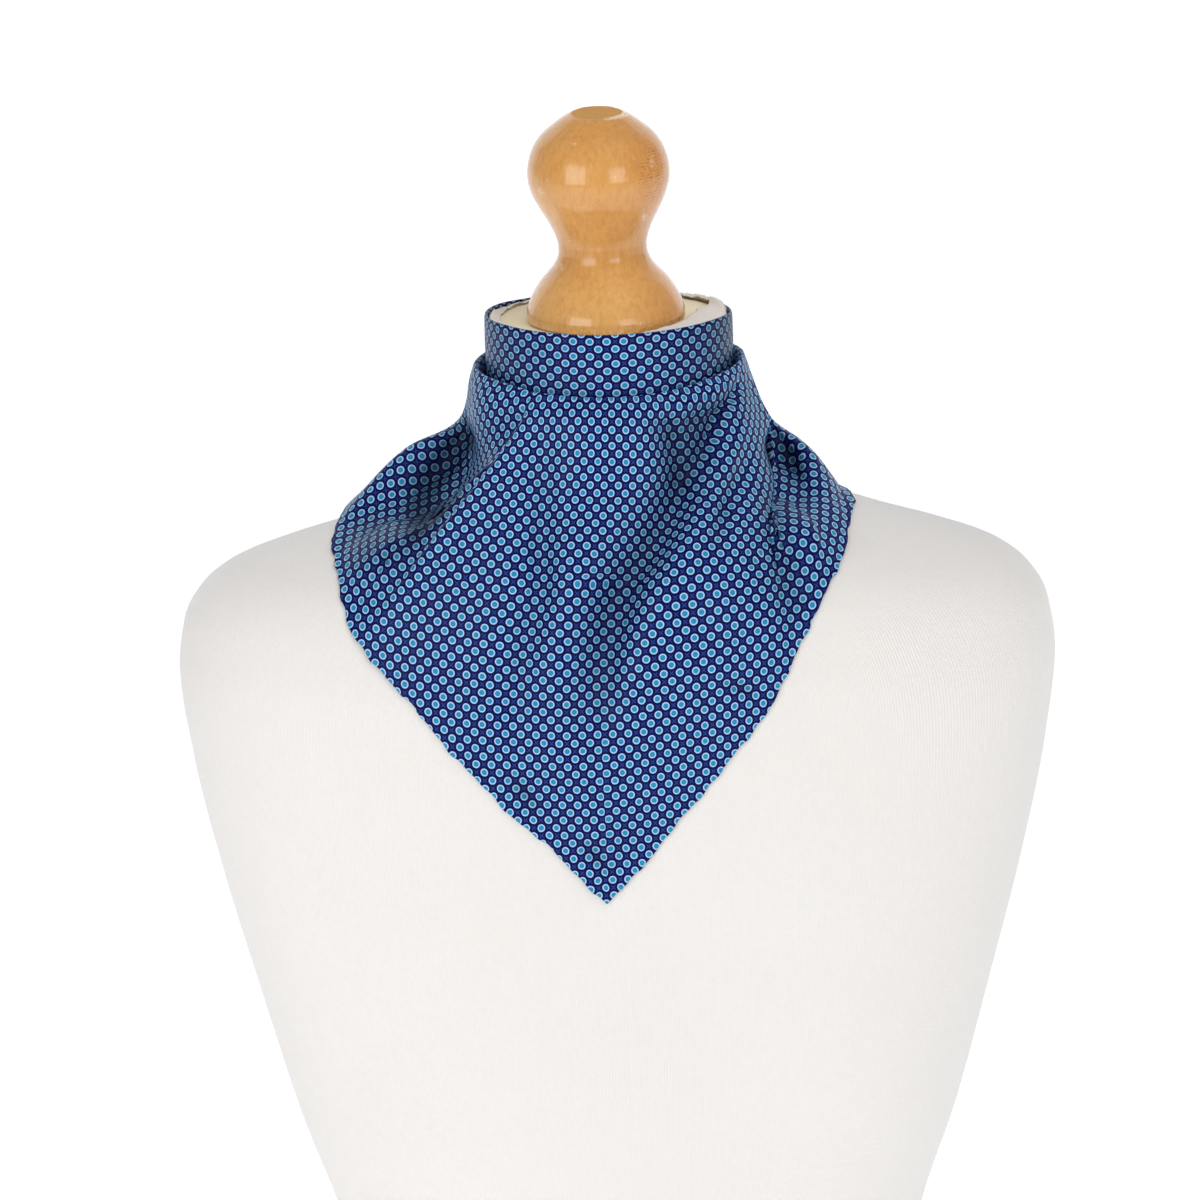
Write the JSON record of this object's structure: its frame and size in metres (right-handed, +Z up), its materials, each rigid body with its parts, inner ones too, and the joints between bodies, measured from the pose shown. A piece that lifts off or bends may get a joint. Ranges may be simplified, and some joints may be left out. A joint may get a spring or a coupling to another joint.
{
  "type": "pocket square on dress form",
  "caption": "Dotted silk pocket square folded corner to corner, tied round the neck of a limbless dress form with its point in front",
  "frame": {"origin": "centre of the form's flat underside, on the neck's axis", "axes": "+Z up the neck, -Y to the front where the cloth's point lies, +X to the form's own left, which is the picture's right"},
  "size_m": [0.436, 0.2088, 0.7394],
  "materials": {
    "printed_silk": "satin",
    "form_jersey": "matte",
    "cap_board": "matte",
    "finial_wood": "varnished"
  },
  "bodies": {
    "root": {"scarf_neck_band": "printed_silk", "scarf_bib": "printed_silk", "scarf_wing_left": "printed_silk", "scarf_wing_right": "printed_silk", "scarf_knot": "printed_silk", "scarf_tail_left": "printed_silk", "scarf_tail_right": "printed_silk", "form_body": "form_jersey", "form_neck_cap": "cap_board", "form_finial": "finial_wood"}
  },
  "joints": []
}
